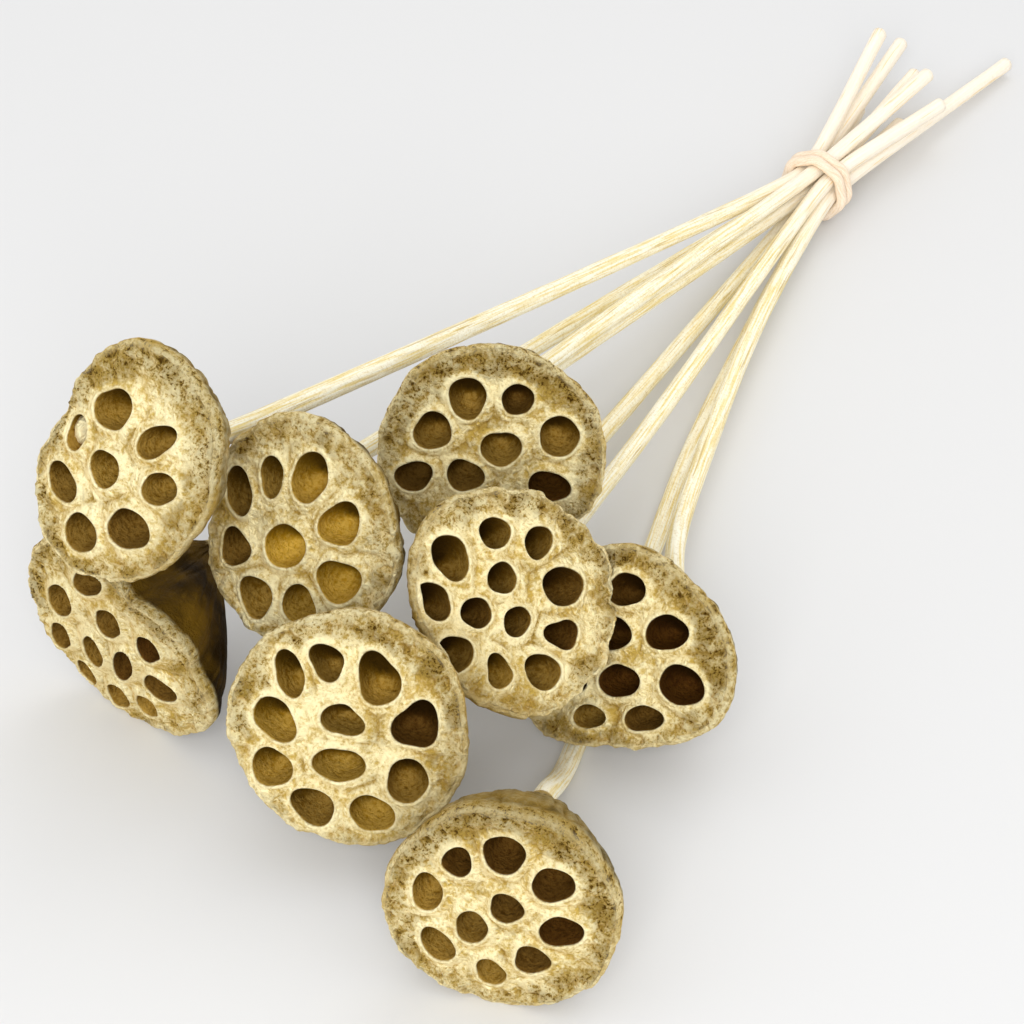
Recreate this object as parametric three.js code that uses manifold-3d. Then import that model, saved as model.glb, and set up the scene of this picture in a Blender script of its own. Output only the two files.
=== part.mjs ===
// A tied bunch of eight dried lotus pods, painted gold, lying on a table.
// Each pod and its stem grew as one piece. A cream cord holds the eight stems together.
// Millimetres, +Z up. The pods are at -Y and the cut stem ends at +Y.
import * as THREE from "three";
import { mergeVertices } from "three/addons/utils/BufferGeometryUtils.js";
import Module from "manifold-3d";

const wasm = await Module();
wasm.setup();

// Driving dimensions of the bunch
const TIE_CENTRE = new THREE.Vector3(-12.2, 142.4, 14.8);
const SLOT_RING = 7.2;
const STEM_AT_NECK = 3.5;
const STEM_AT_TIE = 2.95;
const STEM_SIDES = 8;
const STEM_STEP = 24;
const STEM_SUNK = 9;
const LEAVE_LENGTH = 7;
const TIE_STRAIGHT = 14;
const CUT_HOLLOW = 1.6;

// Driving dimensions of a head
const HEAD_SIDES = 24;
const DOME = 2.2;
const EDGE_CURL = 1.5;
const EDGE_WAVE = 0.022;
const CELL_DEPTH = 12.5;
const CELL_SIDES = 9;
const CELL_LEAN = 0.26;
const SEED_SIZE = [3.6, 3.9, 6];

// Driving dimensions of the cord
const CORD_RADIUS = 1.7;
const CORD_CLEARANCE = 1.35;
const TURN_SPACING = 2.9;

// A head from its face centre back to the neck: share of the face radius, share of the depth
const FACE_RINGS = [
  [0.36, 0],
  [0.7, 0],
  [0.9, 0],
];
const SIDE_RINGS = [
  [0.965, -0.012],
  [1.0, 0.03],
  [0.99, 0.09],
  [0.93, 0.19],
  [0.82, 0.32],
  [0.69, 0.45],
  [0.54, 0.58],
  [0.39, 0.71],
  [0.26, 0.83],
  [0.16, 0.93],
  [0.105, 1.0],
];

// Each pod: the centre of its face, the way the face turns and rises in degrees, its mean radius,
// how oval and how three-cornered it is and at what angles, its depth to the neck, its place in the
// tie (degrees round the ring, or null for the middle) and its cut end measured from the tie.
// Three stems also pass via points, low under their neighbours.
// One pod keeps a shrivelled seed, held fast by the paint, at a place across, up and down in its cell.
// A cell is [across, up, half length, half width, turn in degrees] on the face.
const PODS = [
  {
    centre: [-67.4, -229.5, 111.5],
    turn: -4,
    rise: 21,
    radius: 35.1,
    oval: [0.167, 68],
    corners: [0.041, -20],
    depth: 44,
    slot: 141,
    end: [-19.5, 100, 10.5],
    seed: [-17.9, 4.1, -6.2],
    cells: [
      [-6.5, 16.9, 8.1, 6, 45],
      [10.4, 12.8, 8.1, 4.4, 43],
      [-5.8, -2.1, 6.2, 5.6, 82],
      [14.5, -0.9, 6.8, 5, 33],
      [-20.8, -12.4, 6.8, 5.4, 132],
      [-11.1, -25.5, 6.5, 6.2, 75],
      [5.9, -17.5, 8.1, 6.5, 31],
      [-18.5, 4.7, 6.1, 3.8, 80],
    ],
  },
  {
    centre: [-78.8, -230.1, 36.2],
    turn: -8,
    rise: -8,
    radius: 37.5,
    oval: [0.035, -38],
    corners: [0.04, -7],
    depth: 48,
    slot: 193,
    end: [-14.5, 112, 1],
    cells: [
      [-19.7, 9.9, 9.6, 5.2, 64],
      [-3.7, 27.4, 8.5, 4.8, 41],
      [-24.7, -10.1, 8.6, 4.3, 66],
      [2.3, 12.9, 7.5, 5.2, 64],
      [-9.2, -7.6, 8.8, 4.4, 78],
      [4.3, -5.6, 9.6, 4.1, 67],
      [18.3, 10.4, 7, 4.6, 70],
      [-17.7, -24.6, 7.2, 4.5, 79],
      [-3.7, -26.6, 7.6, 4.8, 64],
      [19.3, -7.6, 7.3, 6, 19],
      [10.3, -22.1, 6.5, 4.5, 60],
    ],
  },
  {
    centre: [-31.1, -194.6, 75.1],
    turn: 6,
    rise: 21,
    radius: 35,
    oval: [0.065, 89],
    corners: [0.023, -5],
    depth: 47,
    slot: null,
    end: [0, 94, 0],
    cells: [
      [-21, 9, 8.2, 4.7, 103],
      [-20, -9.5, 6.6, 5.4, 94],
      [-10.5, 17, 7, 4, 94],
      [2, 20, 8.7, 5.9, 82],
      [14, 8, 8.2, 6.2, 53],
      [-3, -4, 7.6, 7, 66],
      [16, -10.5, 7.8, 7, 33],
      [-11, -23.5, 7.4, 5.8, 104],
      [4, -22, 6.9, 5.8, 100],
    ],
  },
  {
    centre: [-3, -126.2, 70.8],
    turn: 27,
    rise: 20,
    radius: 36.3,
    oval: [0.015, 8],
    corners: [0.011, -2],
    depth: 46,
    slot: 90,
    end: [9, 85, 7.5],
    cells: [
      [-7.5, 19, 7, 6.2, 86],
      [8.5, 19, 5.3, 5.2, 69],
      [-18.5, 7.5, 6.8, 6, 46],
      [3.5, 2.5, 6.7, 6, 6],
      [22, 7, 6.9, 6.6, 81],
      [-24.5, -8, 6.4, 5.2, 24],
      [-8, -7, 6.4, 5.4, 172],
      [19, -10, 7.1, 5.3, 165],
      [5.5, -20, 6.1, 5.8, 11],
      [-11, -23, 6, 5.2, 150],
      [20, -23.5, 5, 4.2, 40],
    ],
  },
  {
    centre: [36.5, -178.8, 66.2],
    turn: 64,
    rise: 39,
    radius: 34.8,
    oval: [0.053, -68],
    corners: [0.037, 10],
    depth: 39,
    via: [
      [7.5, -143, 30],
      [10.5, -112, 24.5],
      [9, -70, 22.5],
      [5.5, -22, 20.5],
    ],
    slot: 39,
    end: [20, 74, 2.5],
    cells: [
      [0.5, 21.5, 5.6, 4.9, 165],
      [13, 13.5, 5.6, 4.7, 39],
      [-16, 20, 7.4, 5.8, 93],
      [-3, 8, 5.1, 4.9, 88],
      [15.5, -2, 7.6, 6.1, 161],
      [-26.5, 10, 6.9, 4.9, 109],
      [-15, 1.5, 5.3, 4.7, 146],
      [-3.5, -6, 5, 4.5, 40],
      [9.5, -15.5, 6.2, 4.5, 159],
      [-26, -7.5, 6.1, 5.8, 135],
      [-14.5, -18, 5.7, 4, 90],
      [-1, -23.5, 6.7, 5.4, 125],
    ],
  },
  {
    centre: [12.6, -237.1, 49.2],
    turn: 20,
    rise: 29,
    radius: 36.6,
    oval: [0.018, -22],
    corners: [0.01, 43],
    depth: 44,
    slot: 244,
    end: [-14.5, 72, -9.5],
    cells: [
      [-18.5, 15, 7.8, 4.4, 111],
      [-7.5, 20, 6.2, 4.9, 122],
      [8.5, 16.5, 8.6, 6.3, 117],
      [-22, 0.5, 7.9, 5.8, 132],
      [-1.5, 3, 7.2, 4.6, 168],
      [21, 4, 8, 6.6, 53],
      [-22, -14.5, 6.8, 5.9, 160],
      [-1.5, -11, 8.4, 5.3, 4],
      [19.5, -13.5, 7.2, 6.4, 83],
      [-8.5, -25, 7.1, 5.7, 152],
      [9.5, -25, 7.4, 5.5, 164],
    ],
  },
  {
    centre: [82.2, -265.9, 35],
    turn: 17,
    rise: 9,
    radius: 35.4,
    oval: [0.026, 62],
    corners: [0.017, -29],
    depth: 54,
    via: [
      [55.2, -179.6, 3.9],
      [47.7, -147.6, 4.2],
      [29.5, -72, 4.4],
      [16.5, -19, 5.6],
    ],
    slot: 296,
    end: [5, 70, -9.2],
    cells: [
      [-13, 16, 5.2, 4.5, 81],
      [0.5, 21.5, 6.9, 6.2, 65],
      [-21.5, 3.5, 6.8, 4.7, 89],
      [15, 13.5, 6.7, 5.8, 37],
      [2, 3, 5.4, 5, 114],
      [-8, -6, 6.2, 4.8, 82],
      [18, -2.5, 6.7, 5.4, 11],
      [-18, -15, 6.6, 4.9, 120],
      [10, -14.5, 5.4, 5.3, 5],
      [-2, -22, 5.3, 4.5, 106],
    ],
  },
  {
    centre: [61, -158.1, 39],
    turn: -1,
    rise: 31,
    radius: 35.5,
    oval: [0.1, 21],
    corners: [0.07, -11],
    depth: 46,
    via: [
      [40, -76, 13.6],
      [26, -27, 14.2],
      [8, 50, 14],
    ],
    slot: 347,
    end: [24, 136, -10],
    cells: [
      [-2, 20.5, 6.5, 5.3, 26],
      [-2, 6, 6.8, 5.3, 25],
      [15, 12.5, 7.2, 5.7, 26],
      [4.5, -7.5, 7.4, 5.2, 24],
      [24.5, -1.5, 7.6, 6.5, 175],
      [-2, -22, 5.9, 3.8, 24],
      [15.5, -16, 6.6, 4.2, 24],
      [-19, -24, 5.3, 3.8, 25],
      [-18, 15, 5.9, 4.7, 25],
      [-18, -1, 6.3, 5, 27],
      [-11.5, -14, 6.2, 4.4, 25],
      [-27.5, -12, 5, 4.1, 60],
    ],
  },
];

const goldPaint = () =>
  new THREE.MeshStandardMaterial({ color: 0xc9ab66, roughness: 0.45, metalness: 0.55 });
const creamCord = () =>
  new THREE.MeshStandardMaterial({ color: 0xf1e2cf, roughness: 0.9, metalness: 0 });

// Closed solids from three.js geometry, and back
function solid(geometry) {
  const plain = geometry.clone();
  plain.deleteAttribute("normal");
  plain.deleteAttribute("uv");
  const merged = mergeVertices(plain, 1e-4);
  return new wasm.Manifold(
    new wasm.Mesh({
      numProp: 3,
      vertProperties: merged.attributes.position.array,
      triVerts: new Uint32Array(merged.index.array),
    }),
  );
}

function geometryOf(manifold) {
  const mesh = manifold.getMesh();
  const geometry = new THREE.BufferGeometry();
  geometry.setAttribute("position", new THREE.BufferAttribute(mesh.vertProperties, 3));
  geometry.setIndex(new THREE.BufferAttribute(mesh.triVerts, 1));
  geometry.computeVertexNormals();
  return geometry;
}

// A closed skin over rings of points, with a middle point closing each end
function loft(rings, first, last) {
  const sides = rings[0].length;
  const points = [first, ...rings.flat(), last];
  const lastIndex = points.length - 1;
  const at = (ring, side) => 1 + ring * sides + (side % sides);
  const faces = [];
  for (let side = 0; side < sides; side++) {
    faces.push(0, at(0, side), at(0, side + 1));
    faces.push(lastIndex, at(rings.length - 1, side + 1), at(rings.length - 1, side));
    for (let ring = 0; ring + 1 < rings.length; ring++) {
      faces.push(at(ring, side), at(ring + 1, side), at(ring + 1, side + 1));
      faces.push(at(ring, side), at(ring + 1, side + 1), at(ring, side + 1));
    }
  }
  const geometry = new THREE.BufferGeometry().setFromPoints(points);
  geometry.setIndex(faces);
  return geometry;
}

// The frame of a face: across, up, and out of it
function faceFrame(pod) {
  const turn = THREE.MathUtils.degToRad(pod.turn);
  const rise = THREE.MathUtils.degToRad(pod.rise);
  const out = new THREE.Vector3(
    Math.sin(turn) * Math.cos(rise),
    -Math.cos(turn) * Math.cos(rise),
    Math.sin(rise),
  );
  const across = new THREE.Vector3(0, 0, 1).cross(out).normalize();
  const up = out.clone().cross(across);
  const centre = new THREE.Vector3(...pod.centre);
  return { across, up, out, centre };
}

const onFace = (frame, x, y, z) =>
  frame.centre
    .clone()
    .addScaledVector(frame.across, x)
    .addScaledVector(frame.up, y)
    .addScaledVector(frame.out, z);

// The rim's radius and its curl at an angle round the face
function rimRadius(pod, number, angle) {
  const [oval, ovalAt] = pod.oval;
  const [corners, cornersAt] = pod.corners;
  return (
    pod.radius *
    (1 +
      oval * Math.cos(2 * (angle - THREE.MathUtils.degToRad(ovalAt))) +
      corners * Math.cos(3 * (angle - THREE.MathUtils.degToRad(cornersAt))) +
      EDGE_WAVE * Math.sin(5 * angle + number * 1.7) * Math.cos(2 * angle + number))
  );
}

function rimCurl(number, angle) {
  return EDGE_CURL * (Math.sin(3 * angle + number * 2.3) + 0.7 * Math.sin(7 * angle + number * 4.1)) * 0.6;
}

// The head: a low domed face, a curled rim and a funnel that narrows to the stem
function headSolid(pod, number, frame) {
  const rings = [];
  for (const [share, deep] of [...FACE_RINGS, ...SIDE_RINGS]) {
    const ring = [];
    const onTop = deep === 0;
    const curlShare = onTop ? share ** 4 : Math.max(0, 1 - deep * 2.2);
    const dome = onTop ? DOME * (1 - share * share) : 0;
    for (let side = 0; side < HEAD_SIDES; side++) {
      const angle = (side / HEAD_SIDES) * 2 * Math.PI;
      const roundness = THREE.MathUtils.smoothstep(deep, 0.6, 1);
      const rim = THREE.MathUtils.lerp(rimRadius(pod, number, angle), pod.radius, roundness);
      const reach = share * rim;
      const height = dome - deep * pod.depth + curlShare * rimCurl(number, angle);
      ring.push(onFace(frame, reach * Math.cos(angle), reach * Math.sin(angle), height));
    }
    rings.push(ring);
  }
  return solid(loft(rings, onFace(frame, 0, 0, DOME), onFace(frame, 0, 0, -pod.depth)));
}

// A seed cell: an open pit with a rounded bottom, leaning towards the pod's axis
function cellSolid(frame, [across, up, long, wide, turn]) {
  const mouth = 4;
  const profile = [
    [0, -CELL_DEPTH],
    [0.62, -CELL_DEPTH + 1.5],
    [1, -3],
    [1, mouth],
    [0, mouth],
  ].map(([reach, height]) => new THREE.Vector2(reach, height));
  const angle = THREE.MathUtils.degToRad(turn);
  const lengthways = frame.across
    .clone()
    .multiplyScalar(Math.cos(angle))
    .addScaledVector(frame.up, Math.sin(angle));
  const sideways = frame.out.clone().cross(lengthways);
  const away = frame.across.clone().multiplyScalar(across).addScaledVector(frame.up, up);
  const axis = frame.out.clone().addScaledVector(away, CELL_LEAN / 34);
  const place = new THREE.Matrix4().makeBasis(
    sideways.multiplyScalar(wide),
    axis,
    lengthways.multiplyScalar(long),
  );
  place.setPosition(onFace(frame, across, up, 0));
  return solid(new THREE.LatheGeometry(profile, CELL_SIDES).applyMatrix4(place));
}

// A shrivelled seed, sunk into the wall and the bottom of its cell
function seedSolid(frame, [across, up, height]) {
  const place = new THREE.Matrix4().makeBasis(frame.across, frame.up, frame.out);
  place.setPosition(onFace(frame, across, up, height));
  return solid(new THREE.SphereGeometry(1, 10, 7).scale(...SEED_SIZE).applyMatrix4(place));
}

// Where a stem passes through the tie
function slotPoint(pod) {
  if (pod.slot === null) return TIE_CENTRE.clone();
  const angle = THREE.MathUtils.degToRad(pod.slot);
  return TIE_CENTRE.clone().add(
    new THREE.Vector3(SLOT_RING * Math.cos(angle), 0, SLOT_RING * Math.sin(angle)),
  );
}

// A stem leaves the neck along the pod's axis, bends to the tie and runs on to its cut end
function stemCurve(pod, frame) {
  const neck = onFace(frame, 0, 0, -pod.depth);
  const leave = onFace(frame, 0, 0, -pod.depth - LEAVE_LENGTH);
  const slot = slotPoint(pod);
  const end = TIE_CENTRE.clone().add(new THREE.Vector3(...pod.end));
  const via = (pod.via ?? []).map((point) => new THREE.Vector3(...point));
  const from = via.at(-1) ?? leave;
  const before = slot.clone().sub(from).normalize();
  const after = end.clone().sub(slot).normalize();
  const through = before.clone().add(after).normalize();
  const enter = before.add(through).multiplyScalar(TIE_STRAIGHT / 2);
  const exit = after.add(through).multiplyScalar(TIE_STRAIGHT / 2);
  return new THREE.CatmullRomCurve3([
    onFace(frame, 0, 0, STEM_SUNK - pod.depth),
    neck,
    ...(via.length ? via : [leave]),
    slot.clone().sub(enter),
    slot,
    slot.clone().add(exit),
    end,
  ]);
}

function stemSolid(pod, frame) {
  const path = stemCurve(pod, frame);
  const total = path.getLength();
  const steps = Math.round(total / STEM_STEP);
  const rings = [];
  let side = frame.across.clone();
  for (let step = 0; step <= steps; step++) {
    const share = step / steps;
    const middle = path.getPointAt(share);
    const along = path.getTangentAt(share);
    side = side.clone().addScaledVector(along, -side.dot(along)).normalize();
    const other = along.clone().cross(side);
    const radius = THREE.MathUtils.lerp(STEM_AT_NECK, STEM_AT_TIE, Math.min(1, share * 1.6));
    const ring = [];
    for (let corner = 0; corner < STEM_SIDES; corner++) {
      const angle = (corner / STEM_SIDES) * 2 * Math.PI;
      ring.push(
        middle
          .clone()
          .addScaledVector(side, radius * Math.cos(angle))
          .addScaledVector(other, radius * Math.sin(angle)),
      );
    }
    rings.push(ring);
  }
  const hollow = path.getPointAt(1).addScaledVector(path.getTangentAt(1), -CUT_HOLLOW);
  return solid(loft(rings.reverse(), hollow, path.getPointAt(0)));
}

// What lies flat on the table: everything under it is cut away
function belowTable() {
  const deep = 60;
  return solid(new THREE.BoxGeometry(1200, 1200, deep).translate(0, 0, -deep / 2));
}

function podMesh(pod, index, table) {
  const number = index + 1;
  const frame = faceFrame(pod);
  let body = headSolid(pod, number, frame).add(stemSolid(pod, frame));
  for (const cell of pod.cells) {
    body = body.subtract(cellSolid(frame, cell));
  }
  if (pod.seed) body = body.add(seedSolid(frame, pod.seed));
  const mesh = new THREE.Mesh(geometryOf(body.subtract(table)), goldPaint());
  mesh.name = `lotus_pod_${number}`;
  return mesh;
}

// The cord: two turns drawn tight round the stems and a small knot behind the bundle
function cordMesh(table) {
  const turnRadius = SLOT_RING + STEM_AT_TIE + CORD_CLEARANCE + CORD_RADIUS;
  const turns = [-1, 1].map((way) =>
    solid(
      new THREE.TorusGeometry(turnRadius, CORD_RADIUS, 8, 28)
        .rotateX(Math.PI / 2)
        .rotateZ(way * 0.02)
        .translate(TIE_CENTRE.x, TIE_CENTRE.y + (way * TURN_SPACING) / 2, TIE_CENTRE.z),
    ),
  );
  const knotAngle = THREE.MathUtils.degToRad(225);
  const knotReach = turnRadius + CORD_RADIUS * 0.8;
  const knot = solid(
    new THREE.SphereGeometry(1, 12, 8)
      .scale(2.3, 4, 3)
      .translate(
        TIE_CENTRE.x + knotReach * Math.cos(knotAngle),
        TIE_CENTRE.y,
        TIE_CENTRE.z + knotReach * Math.sin(knotAngle),
      ),
  );
  const joined = turns[0].add(turns[1]).add(knot).subtract(table);
  const mesh = new THREE.Mesh(geometryOf(joined), creamCord());
  mesh.name = "tie_cord";
  return mesh;
}

const bunch = new THREE.Group();
const table = belowTable();
PODS.forEach((pod, index) => bunch.add(podMesh(pod, index, table)));
bunch.add(cordMesh(table));

export default bunch;
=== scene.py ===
# Looks of the tied bunch of dried lotus pods: eight gold-painted pods on their stems and a cream cord.
import math

import bpy
import numpy as np
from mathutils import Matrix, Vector, noise
from mathutils.geometry import convex_hull_2d, delaunay_2d_cdt


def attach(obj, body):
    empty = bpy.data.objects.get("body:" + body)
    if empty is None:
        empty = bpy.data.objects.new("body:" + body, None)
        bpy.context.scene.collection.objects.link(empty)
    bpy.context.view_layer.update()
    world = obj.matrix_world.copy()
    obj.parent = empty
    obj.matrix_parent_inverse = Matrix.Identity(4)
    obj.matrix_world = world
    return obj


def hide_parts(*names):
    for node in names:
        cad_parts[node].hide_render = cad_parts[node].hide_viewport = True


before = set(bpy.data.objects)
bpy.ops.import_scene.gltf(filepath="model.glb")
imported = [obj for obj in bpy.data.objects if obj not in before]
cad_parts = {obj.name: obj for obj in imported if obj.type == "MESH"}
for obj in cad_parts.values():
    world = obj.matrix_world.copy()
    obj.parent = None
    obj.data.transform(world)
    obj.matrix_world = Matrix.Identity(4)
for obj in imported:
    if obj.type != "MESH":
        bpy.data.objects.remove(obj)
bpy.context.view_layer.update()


# The pods, their paint
# A thin satin coat of pale gold spray paint over brown dried pod, worn through in specks and hardly reaching
# into the seed cells. Its colour also holds painted light: paler as painted highlight on raised bumps, on the
# lips of the cells and along the rim, and darker as painted shade in hollows and creases and on one side of
# each pod.
class Nodes:
    """A material's node tree, built a step at a time."""

    def __init__(self, name):
        self.material = bpy.data.materials.new(name)
        self.material.use_nodes = True
        self.tree = self.material.node_tree
        self.shader = self.tree.nodes["Principled BSDF"]

    def add(self, kind, inputs=(), **settings):
        node = self.tree.nodes.new("ShaderNode" + kind)
        for key, value in settings.items():
            setattr(node, key, value)
        for key, value in dict(inputs).items():
            self.put(value, node.inputs[key])
        return node

    def put(self, value, socket):
        if isinstance(value, bpy.types.NodeSocket):
            self.tree.links.new(value, socket)
        else:
            socket.default_value = value

    def mark(self, name):
        return self.add("Attribute", attribute_name=name).outputs["Fac"]

    def grain(self, place, scale, detail, roughness):
        inputs = {"Vector": place, "Scale": scale, "Detail": detail, "Roughness": roughness}
        return self.add("TexNoise", inputs).outputs["Fac"]

    def step(self, value, low, high, start=0.0, end=1.0):
        inputs = {"Value": value, "From Min": low, "From Max": high, "To Min": start, "To Max": end}
        return self.add("MapRange", inputs, interpolation_type="SMOOTHSTEP").outputs["Result"]

    def sum(self, first, second):
        return self.add("Math", {0: first, 1: second}, operation="ADD").outputs["Value"]

    def times(self, first, second):
        return self.add("Math", {0: first, 1: second}, operation="MULTIPLY").outputs["Value"]

    def larger(self, first, second):
        return self.add("Math", {0: first, 1: second}, operation="MAXIMUM").outputs["Value"]

    def mix(self, share, first, second):
        node = self.add("Mix", data_type="RGBA")
        self.put(share, node.inputs["Factor"])
        self.put(first, node.inputs[6])
        self.put(second, node.inputs[7])
        return node.outputs[2]

    def bump(self, height, size, strength=1.0, under=None):
        inputs = {"Height": height, "Distance": size, "Strength": strength}
        if under is not None:
            inputs["Normal"] = under
        return self.add("Bump", inputs).outputs["Normal"]


def rgb(text):
    """A colour given as sRGB hex, as the linear values that a shader takes."""
    parts = [int(text[i : i + 2], 16) / 255 for i in (0, 2, 4)]
    linear = [c / 12.92 if c <= 0.04045 else ((c + 0.055) / 1.055) ** 2.4 for c in parts]
    return (*linear, 1.0)


# The paint in its pale and warm tones, pale also as painted highlight on raised bumps; gold darkened as
# painted shade on one side of a pod; thinner gold where it wears and as painted shade in hollows and creases;
# painted highlight on the lips of the cells; and brown where it is worn through and as painted shade deep in
# creases
PALE_GOLD = rgb("FCF0C0")
WARM_GOLD = rgb("C8A953")
TAN_AND_SHADE_GOLD = rgb("A88A3E")
THIN_AND_SHADED_GOLD = rgb("B8994A")
LIP_HIGHLIGHT_GOLD = rgb("FFF3C6")
WORN_AND_SHADED_BROWN = rgb("563C10")
# The dried wall of a funnel that the paint missed, and streaks of paint on it
WALL_DARK = rgb("1E1102")
WALL_LIGHT = rgb("6E5214")
WALL_STREAK = rgb("A07C2C")
# The cells from the darkest to the brightest, first in their hollows, then on their grains and, as painted
# light, on their lower walls; and the painted shade of their upper walls and bottoms
CELL_HOLLOWS = (rgb("40210A"), rgb("8A6416"), rgb("C4961E"))
CELL_GRAINS_AND_LIGHT = (rgb("5A3812"), rgb("B69244"), rgb("E0B850"))
CELL_SHADE = rgb("1C0E02")
# The stems, gold up to the tie and paler from there on
STEM_GOLD = (rgb("F0DC9C"), rgb("FFFBE6"))
STEM_GOLD_GROOVE = rgb("BFA050")
STEM_GOLD_FLECK = rgb("C8A850")
STEM_PALE = (rgb("FBEBCF"), rgb("FFFCF4"))
STEM_PALE_GROOVE = rgb("EFCF88")
SHEEN_GOLD = rgb("FFD57E")
# Grains to the metre
FINE_GRAIN = 1150
MIDDLING_GRAIN = 430
BROAD_GRAIN = 85
WALL_GRAIN = 45
CELL_GRAIN = 700
# Heights of the paint's relief in metres
SKIN_RELIEF = 0.0045
RIB_RELIEF = 0.0005
CELL_RELIEF = 0.001

gold = Nodes("gold_paint")
place = gold.add("TexCoord").outputs["Object"]
strand = gold.add("Attribute", attribute_name="strand").outputs["Vector"]
pit = gold.mark("pit")
pit_tone = gold.mark("pit_tone")
lip_highlight = gold.mark("lip_highlight")
crumble = gold.mark("crumble")
crease_shade = gold.mark("crease_shade")
shaded = gold.mark("shaded")
tan_and_side_shade = gold.mark("tan_and_side_shade")
wall = gold.mark("wall")
stem = gold.mark("stem")
tied = gold.mark("tied")

fine = gold.grain(place, FINE_GRAIN, 4, 0.65)
middling = gold.grain(place, MIDDLING_GRAIN, 4, 0.6)
broad = gold.grain(place, BROAD_GRAIN, 3, 0.5)
grit = gold.sum(gold.times(fine, 0.4), gold.times(middling, 0.6))
# Paler paint where the relief's noise is high, as painted highlight on raised bumps, and in broad random
# patches
pale_tone_and_highlight_share = gold.sum(gold.times(grit, 0.75), gold.times(broad, 0.35))
pale_tone_and_highlight_share = gold.sum(pale_tone_and_highlight_share, gold.times(crumble, -0.06))
painted = gold.mix(gold.step(pale_tone_and_highlight_share, 0.42, 0.62), WARM_GOLD, PALE_GOLD)
# Painted shade on one side of each pod, with some random tan patches
painted = gold.mix(gold.times(tan_and_side_shade, 0.8), painted, TAN_AND_SHADE_GOLD)
# Painted shade: darker gold in the hollows of the relief's noise, more towards the worn margin
hollow_shade_share = gold.times(gold.step(grit, 0.53, 0.42), gold.sum(gold.times(crumble, 0.5), 0.1))
speck = gold.sum(gold.times(fine, 0.65), gold.times(middling, 0.35))
worn_share = gold.times(gold.step(speck, 0.48, 0.4), gold.sum(gold.times(crumble, 0.85), 0.03))
# Painted shade in hollows and creases, together with the wear, turns the paint to thinner gold and then to
# brown
thin_paint_and_shade = gold.sum(gold.sum(gold.times(hollow_shade_share, 0.5), gold.times(worn_share, 0.9)), gold.times(crease_shade, 0.8))
painted = gold.mix(gold.step(thin_paint_and_shade, 0.0, 0.5), painted, THIN_AND_SHADED_GOLD)
painted = gold.mix(gold.step(thin_paint_and_shade, 0.3, 1.0), painted, WORN_AND_SHADED_BROWN)
# Painted highlight on the crests of the cells' lips, along the rim and over the seed
painted = gold.mix(gold.times(lip_highlight, 0.75), painted, LIP_HIGHLIGHT_GOLD)

bare = gold.mix(gold.step(gold.grain(place, WALL_GRAIN, 3, 0.5), 0.36, 0.72), WALL_DARK, WALL_LIGHT)
streak = gold.step(gold.grain(strand, 6, 3, 0.6), 0.56, 0.72)
bare = gold.mix(gold.times(streak, 0.15), bare, WALL_STREAK)
painted = gold.mix(wall, painted, bare)

pit_grain = gold.grain(place, CELL_GRAIN, 4, 0.65)
pit_colours = []
for dark, middle, bright in (CELL_HOLLOWS, CELL_GRAINS_AND_LIGHT):
    darker = gold.mix(gold.step(pit_tone, 0.0, 0.45), dark, middle)
    pit_colours.append(gold.mix(gold.step(pit_tone, 0.4, 1.0), darker, bright))
# Painted light and shade in the cells: lighter on the lower walls, darker on the upper walls and deep down
pit_light = gold.sum(pit_grain, gold.times(shaded, -0.35))
pit_colour = gold.mix(gold.step(pit_light, 0.25, 0.6), *pit_colours)
pit_colour = gold.mix(shaded, pit_colour, CELL_SHADE)
in_pit = gold.step(pit, 0.0, 0.05)
head_colour = gold.mix(in_pit, painted, pit_colour)

ribs = gold.grain(strand, 4.5, 3, 0.55)
groove = gold.step(gold.grain(strand, 2.6, 2, 0.5), 0.38, 0.3)
groove_share = gold.times(groove, 0.6)
stem_gold = gold.mix(gold.step(ribs, 0.34, 0.58), *STEM_GOLD)
stem_gold = gold.mix(groove_share, stem_gold, STEM_GOLD_GROOVE)
fleck_share = gold.times(gold.step(fine, 0.5, 0.38), 0.3)
stem_gold = gold.mix(fleck_share, stem_gold, STEM_GOLD_FLECK)
stem_pale = gold.mix(groove_share, gold.mix(ribs, *STEM_PALE), STEM_PALE_GROOVE)
stem_colour = gold.mix(tied, stem_gold, stem_pale)
gold.put(gold.mix(stem, head_colour, stem_colour), gold.shader.inputs["Base Color"])

dull = gold.larger(gold.larger(in_pit, wall), gold.larger(gold.times(stem, 0.7), thin_paint_and_shade))
gold.put(gold.step(dull, 0.0, 1.0, 0.6, 0.0), gold.shader.inputs["Metallic"])
gold.shader.inputs["Specular IOR Level"].default_value = 0.2
gold.shader.inputs["Specular Tint"].default_value = SHEEN_GOLD
satin = gold.sum(gold.step(fine, 0.3, 0.7, 0.28, 0.44), gold.times(dull, 0.45))
gold.put(satin, gold.shader.inputs["Roughness"])
crumb_height = gold.times(grit, gold.sum(crumble, 0.4))
crumb_height = gold.times(crumb_height, gold.step(stem, 1.0, 0.0, 0.35, 1.0))
skin = gold.bump(crumb_height, SKIN_RELIEF)
skin = gold.bump(gold.times(ribs, stem), RIB_RELIEF, 0.8, skin)
skin = gold.bump(gold.times(pit_grain, pit), CELL_RELIEF, 0.7, skin)
gold.put(skin, gold.shader.inputs["Normal"])
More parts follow.
